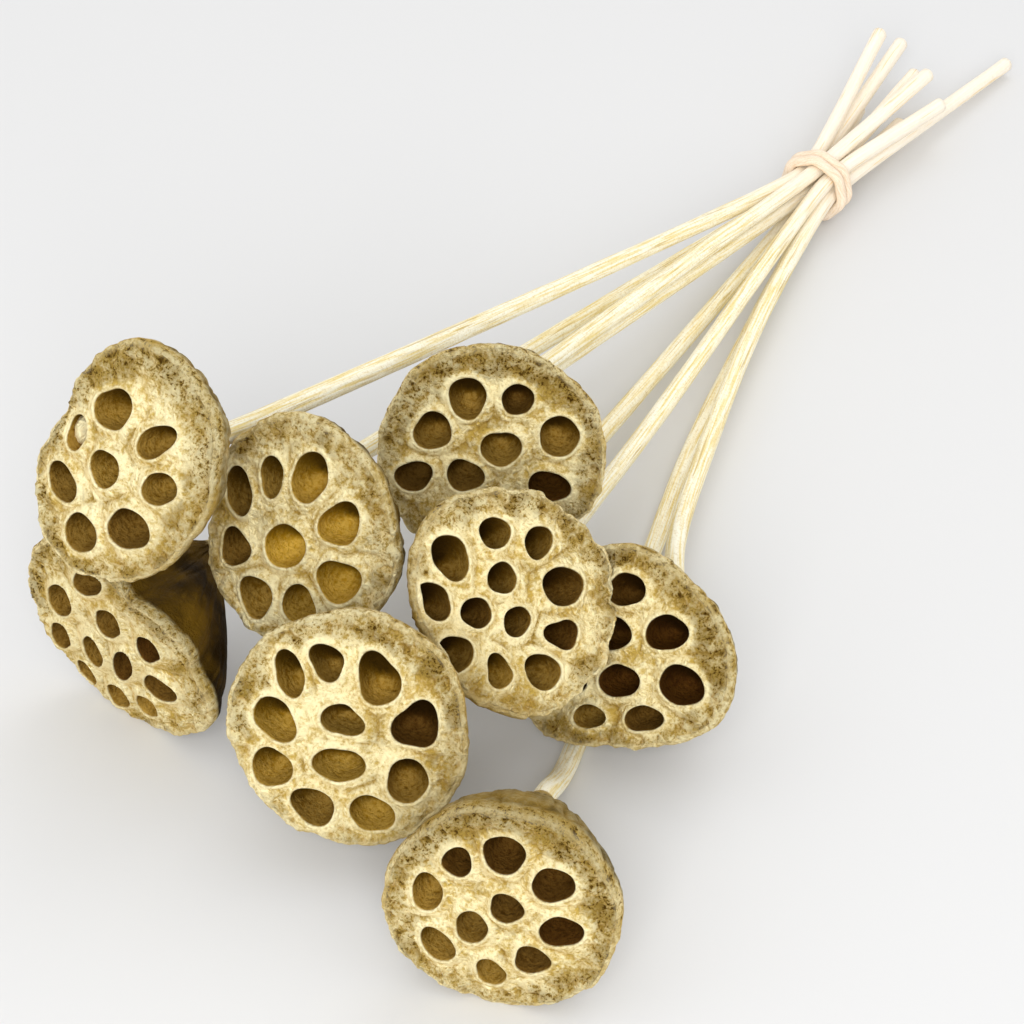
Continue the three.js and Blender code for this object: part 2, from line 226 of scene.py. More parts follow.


# The pods, their heads
# Dried lotus seed heads, each grown in one piece with its stem: a low domed face of open seed
# cells with thin raised lips, a crumpled margin, and a wrinkled funnel that narrows to the stem.

# Each pod in millimetres and degrees. The face: its middle, the way it looks, its radius, how far it is
# oval or three-cornered and in which direction, and bumps of the rim as direction, width and height. The
# funnel's depth. The stem: points on its way, its place round the tie and its cut end from the tie. How
# bare the funnel is, how worn the paint, how crumpled the margin, and the direction and strength of the
# painted shade on one side of the face. A cell: across, up, half length, half width, turn, tone, and how
# three-cornered it is and in which direction.
PODS = [
    {
        "centre": (-67.4, -229.5, 111.5),
        "turn": -4,
        "rise": 21,
        "radius": 35.1,
        "oval": (0.167, 68),
        "corners": (0.041, -20),
        "depth": 44,
        "slot": 141,
        "end": (-19.5, 100, 10.5),
        "seed": (-18.9, 4.5, -4.0),
        "bare": 0.45,
        "worn": 1,
        "frill": 0.5,
        "tan_and_side_shade": (-30, 0.5),
        "lobes": [(55, 8, -1.2), (17, 8, -0.9)],
        "cells": [
            (-6.5, 16.9, 8.1, 6, 45, 0.5, 0.05, 60),
            (10.4, 12.8, 8.1, 4.4, 43, 0.45, 0.05, 30),
            (-5.8, -2.1, 6.2, 5.6, 82, 0.45, 0.05, 30),
            (14.5, -0.9, 6.8, 5, 33, 0.4, 0.02, 0),
            (-20.8, -12.4, 6.8, 5.4, 132, 0.25, 0.03, 0),
            (-11.1, -25.5, 6.5, 6.2, 75, 0.25, 0.03, 0),
            (5.9, -17.5, 8.1, 6.5, 31, 0.2, 0.04, 110),
            (-18.5, 4.7, 6.1, 3.8, 80, 0.4, 0.03, 0),
        ],
    },
    {
        "centre": (-78.8, -230.1, 36.2),
        "turn": -8,
        "rise": -8,
        "radius": 37.5,
        "oval": (0.035, -38),
        "corners": (0.04, -7),
        "depth": 48,
        "slot": 193,
        "end": (-14.5, 112, 1),
        "bare": 1.5,
        "worn": 0.8,
        "frill": 0.4,
        "tan_and_side_shade": (60, 0.3),
        "lobes": [(46, 12, 3.4), (30, 9, 1.6), (66, 7, -4.2), (12, 8, -3.8)],
        "bluntness": 1.75,
        "cells": [
            (-19.7, 9.9, 9.6, 5.2, 64, 0.25, 0.03, 0),
            (-3.7, 27.4, 8.5, 4.8, 41, 0.2, 0.04, 0),
            (-24.7, -10.1, 8.6, 4.3, 66, 0.2, 0.04, 0),
            (2.3, 12.9, 7.5, 5.2, 64, 0.2, 0.03, 0),
            (-9.2, -7.6, 8.8, 4.4, 78, 0.25, 0.04, 0),
            (4.3, -5.6, 9.6, 4.1, 67, 0.1, 0.03, 0),
            (18.3, 10.4, 7, 4.6, 70, 0.05, 0.05, 0),
            (-17.7, -24.6, 7.2, 4.5, 79, 0.25, 0.03, 0),
            (-3.7, -26.6, 7.6, 4.8, 64, 0.3, 0.03, 0),
            (19.3, -7.6, 7.3, 6, 19, 0.15, 0.05, 0),
            (10.3, -22.1, 6.5, 4.5, 60, 0.45, 0.03, 0),
        ],
    },
    {
        "centre": (-31.1, -194.6, 75.1),
        "turn": 6,
        "rise": 21,
        "radius": 35,
        "oval": (0.065, 89),
        "corners": (0.023, -5),
        "depth": 47,
        "slot": None,
        "end": (0, 94, 0),
        "bare": 0.7,
        "worn": 0.6,
        "frill": 0.6,
        "tan_and_side_shade": (185, 0.8),
        "cells": [
            (-21, 9, 8.2, 4.7, 103, 0.25, 0.03, 0),
            (-20, -9.5, 6.6, 5.4, 94, 0.2, 0.1, 0),
            (-10.5, 17, 7, 4, 94, 0.4, 0.05, 30),
            (2, 20, 8.7, 5.9, 82, 0.7, 0.03, 0),
            (14, 8, 8.2, 6.2, 53, 0.8, 0.07, 75),
            (-3, -4, 7.6, 7, 66, 0.95, 0.02, 0),
            (16, -10.5, 7.8, 7, 33, 0.8, 0.08, 30),
            (-11, -23.5, 7.4, 5.8, 104, 0.35, 0.08, 30),
            (4, -22, 6.9, 5.8, 100, 0.6, 0.06, 90),
        ],
    },
    {
        "centre": (-3, -126.2, 70.8),
        "turn": 27,
        "rise": 20,
        "radius": 36.3,
        "oval": (0.015, 8),
        "corners": (0.011, -2),
        "depth": 46,
        "slot": 90,
        "end": (9, 85, 7.5),
        "bare": 0.75,
        "worn": 1,
        "frill": 0.7,
        "tan_and_side_shade": (250, 0.4),
        "cells": [
            (-7.5, 19, 7, 6.2, 86, 0.35, 0.05, 30),
            (8.5, 19, 5.3, 5.2, 69, 0.15, 0.02, 0),
            (-18.5, 7.5, 6.8, 6, 46, 0.3, 0.06, 90),
            (3.5, 2.5, 6.7, 6, 6, 0.4, 0.05, 30),
            (22, 7, 6.9, 6.6, 81, 0.35, 0.02, 0),
            (-24.5, -8, 6.4, 5.2, 24, 0.15, 0.05, 45),
            (-8, -7, 6.4, 5.4, 172, 0.2, 0.07, 0),
            (19, -10, 7.1, 5.3, 165, 0.05, 0.04, 0),
            (5.5, -20, 6.1, 5.8, 11, 0.2, 0.03, 0),
            (-11, -23, 6, 5.2, 150, 0.2, 0.03, 0),
            (20, -23.5, 5, 4.2, 40, 0.2, 0.03, 0),
        ],
    },
    {
        "centre": (36.5, -178.8, 66.2),
        "turn": 64,
        "rise": 39,
        "radius": 34.8,
        "oval": (0.053, -68),
        "corners": (0.037, 10),
        "depth": 39,
        "via": [(7.5, -143, 30), (10.5, -112, 24.5), (9, -70, 22.5), (5.5, -22, 20.5)],
        "slot": 39,
        "end": (20, 74, 2.5),
        "bare": 0.6,
        "worn": 0.7,
        "frill": 1,
        "tan_and_side_shade": (205, 0.9),
        "cells": [
            (0.5, 21.5, 5.6, 4.9, 165, 0.3, 0.03, 0),
            (13, 13.5, 5.6, 4.7, 39, 0.25, 0.04, 0),
            (-16, 20, 7.4, 5.8, 93, 0.3, 0.04, 30),
            (-3, 8, 5.1, 4.9, 88, 0.25, 0.04, 60),
            (15.5, -2, 7.6, 6.1, 161, 0.15, 0.03, 0),
            (-26.5, 10, 6.9, 4.9, 109, 0.2, 0.05, 30),
            (-15, 1.5, 5.3, 4.7, 146, 0.15, 0.03, 40),
            (-3.5, -6, 5, 4.5, 40, 0.2, 0.03, 0),
            (9.5, -15.5, 6.2, 4.5, 159, 0.1, 0.12, 30),
            (-26, -7.5, 6.1, 5.8, 135, 0.25, 0.04, 0),
            (-14.5, -18, 5.7, 4, 90, 0.5, 0.09, 90),
            (-1, -23.5, 6.7, 5.4, 125, 0.3, 0.05, 0),
        ],
    },
    {
        "centre": (12.6, -237.1, 49.2),
        "turn": 20,
        "rise": 29,
        "radius": 36.6,
        "oval": (0.018, -22),
        "corners": (0.01, 43),
        "depth": 44,
        "slot": 244,
        "end": (-14.5, 72, -9.5),
        "bare": 0.5,
        "worn": 0.65,
        "frill": 0.4,
        "tan_and_side_shade": (-35, 0.55),
        "cells": [
            (-18.5, 15, 7.8, 4.4, 111, 0.55, 0.03, 0),
            (-7.5, 20, 6.2, 4.9, 122, 0.35, 0.09, 30),
            (8.5, 16.5, 8.6, 6.3, 117, 0.55, 0.09, 0),
            (-22, 0.5, 7.9, 5.8, 132, 0.65, 0.05, 75),
            (-1.5, 3, 7.2, 4.6, 168, 0.4, 0.08, 90),
            (21, 4, 8, 6.6, 53, 0.1, 0.11, 75),
            (-22, -14.5, 6.8, 5.9, 160, 0.6, 0.05, 0),
            (-1.5, -11, 8.4, 5.3, 4, 0.6, 0.03, 30),
            (19.5, -13.5, 7.2, 6.4, 83, 0.35, 0.03, 0),
            (-8.5, -25, 7.1, 5.7, 152, 0.3, 0.06, 40),
            (9.5, -25, 7.4, 5.5, 164, 0.65, 0.03, 0),
        ],
    },
    {
        "centre": (82.2, -265.9, 35),
        "turn": 17,
        "rise": 9,
        "radius": 35.4,
        "oval": (0.026, 62),
        "corners": (0.017, -29),
        "depth": 54,
        "via": [(55.2, -179.6, 3.9), (47.7, -147.6, 4.2), (29.5, -72, 4.4), (16.5, -19, 5.6)],
        "slot": 296,
        "end": (5, 70, -9.2),
        "bare": 0.5,
        "worn": 1.1,
        "frill": 0.4,
        "tan_and_side_shade": (100, 0.6),
        "cells": [
            (-13, 16, 5.2, 4.5, 81, 0.1, 0.06, 70),
            (0.5, 21.5, 6.9, 6.2, 65, 0.1, 0.04, 30),
            (-21.5, 3.5, 6.8, 4.7, 89, 0.5, 0.03, 0),
            (15, 13.5, 6.7, 5.8, 37, 0.1, 0.04, 0),
            (2, 3, 5.4, 5, 114, 0.15, 0.06, 0),
            (-8, -6, 6.2, 4.8, 82, 0.25, 0.03, 0),
            (18, -2.5, 6.7, 5.4, 11, 0.05, 0.05, -10),
            (-18, -15, 6.6, 4.9, 120, 0.35, 0.03, 0),
            (10, -14.5, 5.4, 5.3, 5, 0.15, 0.08, -5),
            (-2, -22, 5.3, 4.5, 106, 0.45, 0.05, 0),
        ],
    },
    {
        "centre": (61, -158.1, 39),
        "turn": -1,
        "rise": 31,
        "radius": 35.5,
        "oval": (0.1, 21),
        "corners": (0.07, -11),
        "depth": 46,
        "via": [(40, -76, 13.6), (26, -27, 14.2), (8, 50, 14)],
        "slot": 347,
        "end": (24, 136, -10),
        "bare": 0.6,
        "worn": 0.9,
        "frill": 0.6,
        "tan_and_side_shade": (215, 0.8),
        "cells": [
            (-2, 20.5, 6.5, 5.3, 26, 0.1, 0.04, 0),
            (-2, 6, 6.8, 5.3, 25, 0.05, 0.03, 0),
            (15, 12.5, 7.2, 5.7, 26, 0, 0.04, 0),
            (4.5, -7.5, 7.4, 5.2, 24, 0, 0.03, 0),
            (24.5, -1.5, 7.6, 6.5, 175, 0, 0.03, 0),
            (-2, -22, 5.9, 3.8, 24, 0.3, 0.04, 0),
            (15.5, -16, 6.6, 4.2, 24, 0.15, 0.05, 0),
            (-19, -24, 5.3, 3.8, 25, 0.1, 0.03, 0),
            (-18, 15, 5.9, 4.7, 25, 0.1, 0.03, 0),
            (-18, -1, 6.3, 5, 27, 0.05, 0.03, 0),
            (-11.5, -14, 6.2, 4.4, 25, 0.1, 0.03, 0),
            (-27.5, -12, 5, 4.1, 60, 0.1, 0.03, 0),
        ],
    },
]

MM = 0.001
DOME = 2.2
EDGE_CURL = 0.9
EDGE_WAVE = 0.022
CELL_DEPTH = 12.5
CELL_LEAN = 0.26 / 34
CELL_POINTS = 60
CELL_REACH = 0.925
FACE_EDGE = 0.955
RIM_SIDES = 288
# The points that the face is built from: rings round each cell, at these distances from its mouth, and rows
# of a triangular grid, shaken, kept clear of the rim, of the cells and of each other
LIP_RINGS = (0.16, 0.34, 0.6, 1.0, 1.6)
FACE_GRID = 0.62
GRID_ROW = 0.866
GRID_SHAKE = 0.16
CLEAR_OF_RIM = 0.3
CLEAR_OF_CELL = 0.15
CLEAR_OF_POINT = 0.36
# A cell from its mouth to its bottom: share of the mouth's size, share of the depth
CELL_RINGS = [
    (0.965, 0.03),
    (0.955, 0.08),
    (0.965, 0.16),
    (0.98, 0.27),
    (0.96, 0.42),
    (0.9, 0.58),
    (0.8, 0.73),
    (0.64, 0.87),
    (0.42, 0.96),
    (0.2, 0.99),
]
# The rim and funnel from the face to the neck: share of the rim's radius, share of the depth
SIDE_RINGS = [
    (0.955, -0.0145),
    (0.984, -0.008),
    (1.0, 0.03),
    (0.99, 0.09),
    (0.93, 0.19),
    (0.82, 0.32),
    (0.69, 0.45),
    (0.54, 0.58),
    (0.39, 0.71),
    (0.26, 0.83),
    (0.16, 0.93),
    (0.105, 1.0),
]
STEPS_PER_RING = 5
# The face's relief: sizes and heights of its swells, its crumples, the lips round its cells and the
# grooves half way between two cells
SWELL_SIZE = 12
SWELL_HEIGHT = 0.55
CRUMPLE_SIZE = 3.4
RIDGE_SIZE = 5.5
RIDGE_HEIGHT = 0.5
TORN_SIZE = 9
CELL_RISE = 1.1
CELL_RISE_WIDTH = 2.2
LIP_AT = 0.35
LIP_WIDTH = 0.3
LIP_HEIGHT = 0.45
GROOVE_WIDTH = 0.8
GROOVE_DEPTH = 0.75
# The funnel's relief: its fine crinkles, its lengthwise folds and the rough edge of the rim
CRINKLE_SIZE = 3.2
CRINKLE_HEIGHT = 0.55
FOLD_SIZE = 7.5
FOLD_DEPTH = 1.1
EDGE_GRIT_SIZE = 3.0
# What the paint needs to know of each point, from 0 to 1
MARKS = ("pit", "pit_tone", "shaded", "lip_highlight", "tan_and_side_shade", "crumble", "crease_shade", "wall", "stem", "tied")


def smooth(value, low, high):
    share = np.clip((value - low) / (high - low), 0, 1)
    return share * share * (3 - 2 * share)


def rough(points, size, seed, octaves):
    """Fractal noise at points in millimetres, about -1 to 1, with bumps of that size."""
    shift = Vector((seed * 7.3, seed * 3.1, seed * 5.7))
    places = np.asarray(points, float) / size
    return np.array([noise.fractal(Vector(p) + shift, 0.9, 2.0, octaves) for p in places])


def face_frame(pod):
    turn, rise = math.radians(pod["turn"]), math.radians(pod["rise"])
    level = math.cos(rise)
    out = np.array([math.sin(turn) * level, -math.cos(turn) * level, math.sin(rise)])
    across = np.cross([0, 0, 1], out)
    across /= np.linalg.norm(across)
    return across, np.cross(out, across), out


def on_face(pod, points):
    """Points across, up and out of a face, as points of the bunch."""
    across, up, out = face_frame(pod)
    points = np.atleast_2d(np.asarray(points, float))
    return np.array(pod["centre"]) + points[:, :1] * across + points[:, 1:2] * up + points[:, 2:3] * out


def rim_radius(pod, number, angle):
    oval, oval_at = pod["oval"]
    corners, corners_at = pod["corners"]
    even = pod["radius"] * (
        1
        + oval * np.cos(2 * (angle - math.radians(oval_at)))
        + corners * np.cos(3 * (angle - math.radians(corners_at)))
        + EDGE_WAVE * np.sin(5 * angle + number * 1.7) * np.cos(2 * angle + number)
    )
    for lobe_at, lobe_width, lobe_height in pod.get("lobes", ()):
        away = np.angle(np.exp(1j * (angle - math.radians(lobe_at))))
        even = even + lobe_height * np.exp(-((away / math.radians(lobe_width)) ** 2))
    return even


def rim_curl(number, angle):
    wave = np.sin(3 * angle + number * 2.3) + 0.7 * np.sin(7 * angle + number * 4.1)
    return EDGE_CURL * wave


def frill(pod, number, angle):
    """The small crumples of the rim round the face, about -1 to 1."""
    waves = ((13, 1.0), (19, 0.8), (31, 0.6))
    crumples = sum(size * np.sin(count * angle + number * count) for count, size in waves)
    return pod["frill"] * crumples / 1.6


def cell_outline(pod, number, index, grow=0.0):
    """The mouth of a cell, an oval or a rounded triangle, pressed flat where it meets the rim."""
    across, up, long, wide, turn, _, corner, corner_at = pod["cells"][index]
    uneven = number * 12.9 + index * 4.7
    angle = np.arange(CELL_POINTS) / CELL_POINTS * 2 * math.pi
    turned = angle - math.radians(turn)
    bluntness = pod.get("bluntness", 2.0)
    along, aside = np.abs(np.cos(turned) / long), np.abs(np.sin(turned) / wide)
    reach = (along**bluntness + aside**bluntness) ** (-1 / bluntness)
    reach = reach * (
        1
        + corner * np.cos(3 * (angle - math.radians(corner_at)))
        + 0.014 * np.sin(5 * angle + uneven)
        + 0.02 * np.cos(2 * angle + uneven * 2)
    )
    x = across + (reach + grow) * np.cos(angle)
    y = up + (reach + grow) * np.sin(angle)
    away = np.hypot(x, y)
    limit = CELL_REACH * rim_radius(pod, number, np.arctan2(y, x))
    pull = np.minimum(1, limit / away)
    return np.stack([x * pull, y * pull], axis=1)


def distance_to(points, outline):
    """Distance from each point to a closed outline, and whether the point lies inside it."""
    a = outline
    b = np.roll(outline, -1, axis=0)
    edge = b - a
    rel = points[:, None, :] - a[None, :, :]
    share = np.clip((rel * edge).sum(2) / (edge * edge).sum(1), 0, 1)
    gap = np.linalg.norm(rel - share[..., None] * edge, axis=2).min(1)
    above = (a[:, 1] > points[:, None, 1]) != (b[:, 1] > points[:, None, 1])
    rise = np.where(np.abs(edge[:, 1]) < 1e-12, 1e-12, edge[:, 1])
    cross_x = a[:, 0] + (points[:, None, 1] - a[:, 1]) / rise * edge[:, 0]
    inside = (above & (points[:, None, 0] < cross_x)).sum(1) % 2 == 1
    return gap, inside


def face_surface(pod, number, points, gap, next_gap):
    """Height and marks of the face at points that lie gap and next_gap from the two nearest cells."""
    angle = np.arctan2(points[:, 1], points[:, 0])
    share = np.hypot(points[:, 0], points[:, 1]) / rim_radius(pod, number, angle)
    flat = np.column_stack([points, np.zeros(len(points))])
    margin = smooth(gap, 0.8, 3.5) * smooth(share, 0.62, 0.9)
    swell = rough(flat, SWELL_SIZE, number, 2) * SWELL_HEIGHT
    crumple = rough(flat, CRUMPLE_SIZE, number + 20, 4)
    ridge = 1 - 3.2 * np.abs(rough(flat, RIDGE_SIZE, number + 50, 3))
    torn = smooth(rough(flat, TORN_SIZE, number + 70, 2), 0.0, 0.45)
    groove = np.exp(-(((next_gap - gap) / GROOVE_WIDTH) ** 2)) * smooth(gap, 0.7, 1.5)
    groove = groove * (1 - smooth(share, 0.7, 0.85)) * (0.35 + 0.65 * torn)
    height = DOME * (1 - share**2) + share**4 * rim_curl(number, angle)
    height += 0.5 * smooth(share, 0.86, 0.96) + 0.7 * smooth(share, 0.8, 0.96) * frill(pod, number, angle)
    height += LIP_HEIGHT * np.exp(-(((gap - LIP_AT) / LIP_WIDTH) ** 2))
    height += CELL_RISE * np.exp(-((gap / CELL_RISE_WIDTH) ** 2))
    height += swell * smooth(gap, 0, 3) + crumple * (0.2 + 1.2 * margin) * smooth(gap, 0.3, 2)
    height += RIDGE_HEIGHT * ridge * margin - GROOVE_DEPTH * groove
    high_side = 0.5 + 0.5 * smooth(points[:, 1] / pod["radius"], -0.4, 0.5)
    worn = pod["worn"] * margin * high_side
    crumble = worn * (0.78 + 0.52 * torn) + 0.2 * smooth(gap, 1, 2.6) * torn
    # Painted shade in the hollows of the crumples at the worn margin and in the grooves between cells
    crease_shade = worn * smooth(-crumple, 0.2, 0.62) * 0.8 + 0.5 * groove
    # Painted shade on the side of the face given for each pod, with some random tan patches
    shade_side_at, shade_strength = pod["tan_and_side_shade"]
    towards = np.cos(angle - math.radians(shade_side_at))
    tan_and_side_shade = shade_strength * smooth(towards * share + 0.25 * swell, 0.3, 0.95) * (0.7 + 0.5 * torn)
    marks = {
        "tan_and_side_shade": np.clip(tan_and_side_shade + 0.25 * torn * smooth(gap, 1.2, 3), 0, 1),
        # Painted highlight on the crests of the cells' lips and along the rim
        "lip_highlight": np.exp(-(((gap - 0.24) / 0.3) ** 2)) + 0.3 * smooth(share, 0.93, 0.95),
        "crumble": np.clip(crumble, 0, 1),
        "crease_shade": np.clip(crease_shade, 0, 1),
    }
    return height, marks


def face_part(pod, number):
    """The face between its cells, and the cells, with the face's outer edge as the first points."""
    angles = np.arange(RIM_SIDES) / RIM_SIDES * 2 * math.pi
    edge = FACE_EDGE * (rim_radius(pod, number, angles) + 0.45 * frill(pod, number, angles))
    border = np.stack([edge * np.cos(angles), edge * np.sin(angles)], axis=1)
    cells = range(len(pod["cells"]))
    outlines = [cell_outline(pod, number, index) for index in cells]
    fixed = np.concatenate([border, *outlines])

    random = np.random.default_rng(number)
    rings = [cell_outline(pod, number, index, grow) for grow in LIP_RINGS for index in cells]
    side = np.arange(-pod["radius"] * 1.25, pod["radius"] * 1.25, FACE_GRID)
    grid_x, grid_y = np.meshgrid(side, side * GRID_ROW)
    grid_x = grid_x + (np.arange(len(side)) % 2 * FACE_GRID / 2)[:, None]
    grid = np.stack([grid_x.ravel(), grid_y.ravel()], axis=1)
    grid += random.uniform(-GRID_SHAKE, GRID_SHAKE, grid.shape) * FACE_GRID
    wanted = np.concatenate([*rings, grid])
    border_gap, in_border = distance_to(wanted, border)
    wanted = wanted[in_border & (border_gap > CLEAR_OF_RIM)]
    clear = np.ones(len(wanted), bool)
    for outline in outlines:
        gap, inside = distance_to(wanted, outline)
        clear &= ~inside & (gap > CLEAR_OF_CELL)
    wanted = wanted[clear]
    taken = {}
    chosen = []
    for point in [*fixed, *wanted]:
        column, row = (int(part // CLEAR_OF_POINT) for part in point)
        around = [taken.get((column + i, row + j)) for i in (-1, 0, 1) for j in (-1, 0, 1)]
        near = any(q is not None and math.dist(point, q) < CLEAR_OF_POINT for q in around)
        if len(chosen) < len(fixed) or not near:
            taken[(column, row)] = point
            chosen.append(point)
    flat = np.array(chosen)

    edges = [(i, (i + 1) % RIM_SIDES) for i in range(RIM_SIDES)]
    for index in cells:
        start = RIM_SIDES + index * CELL_POINTS
        edges += [(start + i, start + (i + 1) % CELL_POINTS) for i in range(CELL_POINTS)]
    made = delaunay_2d_cdt([Vector(p) for p in flat], edges, [], 0, 1e-6)
    back = [origin[0] for origin in made[3]]
    triangles = np.array([[back[i] for i in face] for face in made[2]])
    middles = flat[triangles].mean(1)
    used = distance_to(middles, border)[1]
    for outline in outlines:
        used &= ~distance_to(middles, outline)[1]
    triangles = triangles[used]
    a, b, c = (flat[triangles[:, k]] for k in range(3))
    turned = np.cross(b - a, c - a) < 0
    triangles[turned] = triangles[turned][:, ::-1]

    gap, next_gap = np.sort([distance_to(flat, outline)[0] for outline in outlines], axis=0)[:2]
    height, marks = face_surface(pod, number, flat, gap, next_gap)
    points = [np.column_stack([flat, height])]
    faces = [tuple(t) for t in triangles]
    columns = {name: [marks.get(name, np.zeros(len(flat)))] for name in MARKS}
    total = len(flat)
    for index in cells:
        start = RIM_SIDES + index * CELL_POINTS
        mouth = points[0][start : start + CELL_POINTS]
        across, up, _, _, _, tone, _, _ = pod["cells"][index]
        depth = CELL_DEPTH * (0.9 - 0.28 * tone)
        upper = (mouth[:, 1] - up) / np.abs(mouth[:, 1] - up).max()
        ring = np.arange(start, start + CELL_POINTS)
        for size, deep in CELL_RINGS:
            lean = 1 - CELL_LEAN * deep * depth
            centre = np.array([across, up]) * lean
            x_y = centre + (mouth[:, :2] - (across, up)) * size
            level = mouth[:, 2] * (1 - deep) - deep * depth
            lumps = rough(np.column_stack([x_y, level]), 2.6, number + index, 2)
            x_y = centre + (x_y - centre) * (1 + 0.045 * lumps * smooth(deep, 0.05, 0.3))[:, None]
            level = level + 0.35 * lumps * smooth(deep, 0.6, 0.9)
            points.append(np.column_stack([x_y, level]))
            lower = np.arange(total, total + CELL_POINTS)
            following = np.roll(ring, -1)
            lower_following = np.roll(lower, -1)
            faces += list(zip(ring, following, lower_following, lower))
            # Painted shade inside a cell: darker up its upper wall and towards its bottom
            shaded_here = 0.9 * smooth(0.8 * upper + 0.5 * deep, -0.4, 1.1)
            inside = {"pit": deep, "pit_tone": tone, "shaded": shaded_here}
            for name in MARKS:
                columns[name].append(np.full(CELL_POINTS, inside.get(name, 0.0)))
            ring = lower
            total += CELL_POINTS
        bottom = np.array([[across, up, 0]]) * (1 - CELL_LEAN * depth) - (0, 0, depth)
        points.append(bottom)
        inside = {"pit": 1.0, "pit_tone": tone, "shaded": 0.56}
        for name in MARKS:
            columns[name].append(np.array([inside.get(name, 0.0)]))
        faces += list(zip(ring, np.roll(ring, -1), [total] * CELL_POINTS))
        total += 1
    return np.concatenate(points), faces, {name: np.concatenate(columns[name]) for name in MARKS}


def through(points, steps):
    """A uniform Catmull-Rom line through points, with that many steps between each pair."""
    points = np.asarray(points, float)
    ends = np.concatenate([[2 * points[0] - points[1]], points, [2 * points[-1] - points[-2]]])
    line = []
    for p0, p1, p2, p3 in zip(ends, ends[1:], ends[2:], ends[3:]):
        for t in np.arange(steps) / steps:
            line.append(
                0.5
                * (
                    2 * p1
                    + (p2 - p0) * t
                    + (2 * p0 - 5 * p1 + 4 * p2 - p3) * t**2
                    + (3 * p1 - p0 - 3 * p2 + p3) * t**3
                )
            )
    return np.array([*line, points[-1]])


def side_part(pod, number, first_ring, first_index):
    """The rim and funnel. Its rings follow on from the face's outer edge."""
    angles = np.arange(RIM_SIDES) / RIM_SIDES * 2 * math.pi
    rim = rim_radius(pod, number, angles)
    crumples = frill(pod, number, angles)
    points = []
    columns = {name: [] for name in MARKS}
    for share, deep in through(SIDE_RINGS, STEPS_PER_RING)[1:]:
        radius = rim + (pod["radius"] - rim) * smooth(deep, 0.6, 1)
        reach = share * radius
        wrapped = np.column_stack(
            [np.cos(angles) * 30, np.sin(angles) * 30, np.full(RIM_SIDES, deep * pod["depth"] * 0.22)]
        )
        crinkle = rough(wrapped, CRINKLE_SIZE, number + 40, 4)
        fold = 1 - np.abs(rough(wrapped, FOLD_SIZE, number + 60, 2)) * 3.2
        fold = np.clip(fold, 0, 1) ** 2
        on_side = smooth(deep, 0.02, 0.14) * (1 - smooth(deep, 0.8, 1))
        edge = np.exp(-(((deep - 0.015) / 0.04) ** 2))
        if deep > 0:
            curl_share = max(0.0, 1 - 2.2 * deep)
        else:
            curl_share = 0.85 + 0.15 * smooth(share, FACE_EDGE, 1)
        place = np.column_stack([reach * np.cos(angles), reach * np.sin(angles), np.zeros(RIM_SIDES)])
        grit = rough(place, EDGE_GRIT_SIZE, number + 80, 4)
        near_rim = 1 - smooth(deep, 0.02, 0.16)
        reach = reach + on_side * (CRINKLE_HEIGHT * crinkle - FOLD_DEPTH * fold)
        reach = reach + edge * 0.55 * grit + near_rim * 0.45 * crumples
        level = -deep * pod["depth"] + curl_share * rim_curl(number, angles)
        level = level + edge * 0.5 * grit + near_rim * 0.7 * crumples
        points.append(np.column_stack([reach * np.cos(angles), reach * np.sin(angles), level]))
        high_side = 0.45 + 0.55 * smooth(np.sin(angles), -0.4, 0.7)
        crumble = pod["worn"] * (0.3 + 0.5 * edge) * high_side * (1 - smooth(deep, 0.1, 0.3))
        # Painted shade in the funnel's folds and in the dips of the rim's rough edge
        crease_shade = on_side * fold * 0.6 + 0.7 * edge * smooth(-grit, 0.2, 0.6) * high_side
        bare = pod["bare"] * smooth(deep, 0.03, 0.1) * (1 - smooth(deep, 0.88, 1))
        # Painted shade on the pod's given side of the rim and funnel, and a little all round
        shade_side_at, shade_strength = pod["tan_and_side_shade"]
        towards = smooth(np.cos(angles - math.radians(shade_side_at)), 0.3, 0.95)
        edge_marks = {
            "tan_and_side_shade": shade_strength * towards + 0.1,
            # Painted highlight along the rim's edge
            "lip_highlight": np.full(RIM_SIDES, 0.3 * (1 - smooth(deep, -0.005, 0.02))),
            "crumble": np.clip(crumble, 0, 1),
            "crease_shade": np.clip(crease_shade, 0, 1),
            "wall": np.clip(bare * (1.15 + 0.6 * crinkle), 0, 1),
        }
        for name in MARKS:
            columns[name].append(edge_marks.get(name, np.zeros(RIM_SIDES)))
    total = first_index
    faces = []
    ring = first_ring
    for _ in points:
        lower = np.arange(total, total + RIM_SIDES)
        faces += list(zip(ring, lower, np.roll(lower, -1), np.roll(ring, -1)))
        ring = lower
        total += RIM_SIDES
    points.append(np.array([[0, 0, -pod["depth"]]]))
    for name in MARKS:
        columns[name].append(np.zeros(1))
    faces += list(zip(np.roll(ring, -1), ring, [total] * RIM_SIDES))
    return np.concatenate(points), faces, {name: np.concatenate(columns[name]) for name in MARKS}


SEED_SIZE = (3.5, 5.2, 5.0)
SEED_HOLE = (0.45, 0.1, 0.88)
SEED_HOLE_WIDTH = 0.24
SEED_WRINKLE_SIZE = 0.7
SEED_AROUND = 40
SEED_DOWN = 24


